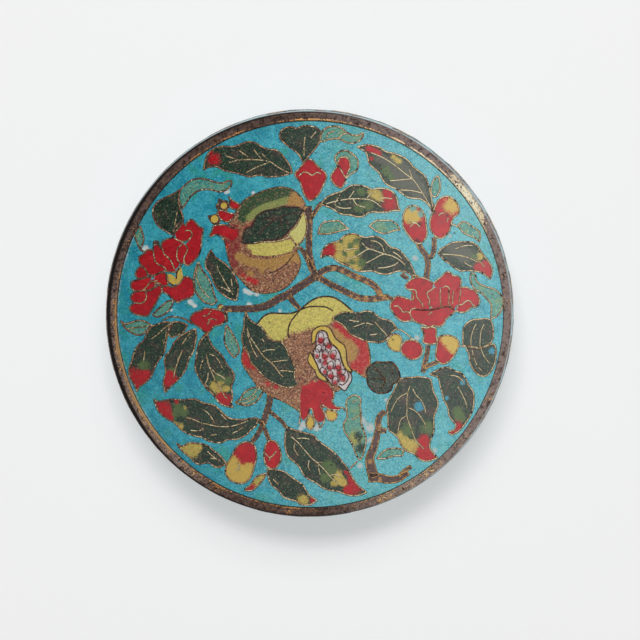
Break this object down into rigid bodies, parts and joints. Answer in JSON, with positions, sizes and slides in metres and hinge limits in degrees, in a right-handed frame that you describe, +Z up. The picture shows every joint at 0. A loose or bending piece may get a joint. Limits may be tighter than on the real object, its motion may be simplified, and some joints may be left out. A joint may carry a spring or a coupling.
{
  "type": "round cloisonne enamel box with lid",
  "caption": "Shallow round metal box with a flat lift-off lid, inlaid with turquoise enamel and a pomegranate branch design.",
  "frame": {"origin": "centre of the ring that the base stands on, on the surface under it", "axes": "+Z up along the box's axis, +Y towards the top of the design on the lid, +X to its right"},
  "size_m": [0.128, 0.128, 0.0453],
  "materials": {
    "gilt_copper": "worn gilding over dark brown patinated copper",
    "turquoise_enamel": "opaque turquoise glass enamel, polished, finely pitted"
  },
  "bodies": {
    "root": {"base_shell": "gilt_copper", "base_side_enamel": "turquoise_enamel", "underside_enamel": "turquoise_enamel", "lid_shell": "gilt_copper", "lid_side_enamel": "turquoise_enamel", "lid_top_enamel": "turquoise_enamel"}
  },
  "joints": []
}
